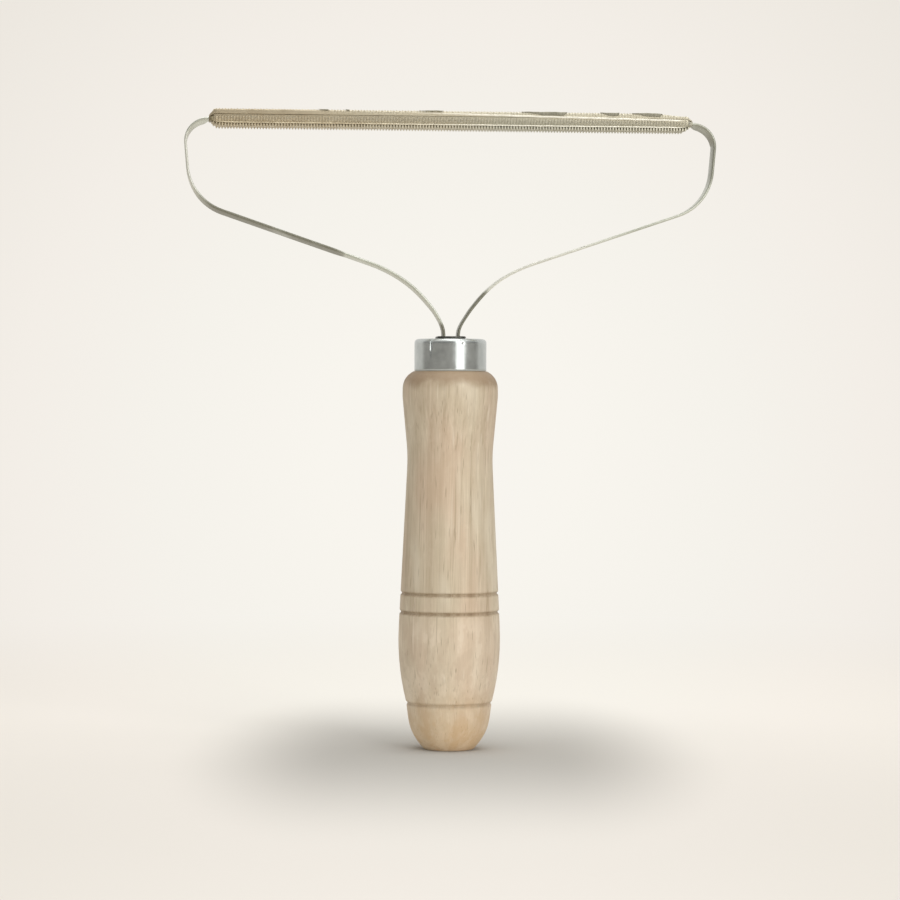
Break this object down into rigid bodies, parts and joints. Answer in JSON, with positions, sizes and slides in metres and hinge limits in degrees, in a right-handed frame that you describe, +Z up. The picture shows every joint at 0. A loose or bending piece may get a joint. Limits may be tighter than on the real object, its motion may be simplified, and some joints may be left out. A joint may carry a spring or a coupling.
{
  "type": "lint remover",
  "caption": "Hand scraper for pet hair and lint: turned wooden handle, steel cap, sprung flat-steel hoop and ribbed brass mesh head.",
  "frame": {"origin": "centre of the handle's flat foot", "axes": "+Z up the handle to the scraping head, X along the head, Y across the steel strip"},
  "size_m": [0.1582, 0.0302, 0.1894],
  "materials": {
    "turned_wood": "fine sanded, thin matt oil",
    "drawn_steel": "bright drawn",
    "dark_steel": "dark oxide",
    "spring_steel": "rolled, satin",
    "brass_wire": "woven wire, dull"
  },
  "bodies": {
    "root": {"handle": "turned_wood", "ferrule_cap": "drawn_steel", "neck_grommet": "dark_steel", "spring_band": "spring_steel", "leg_wedge": "turned_wood", "leg_pin": "dark_steel", "upper_scraper_mesh": "brass_wire", "middle_scraper_mesh": "brass_wire", "lower_scraper_mesh": "brass_wire", "left_end_clip": "dark_steel", "right_end_clip": "dark_steel"}
  },
  "joints": []
}
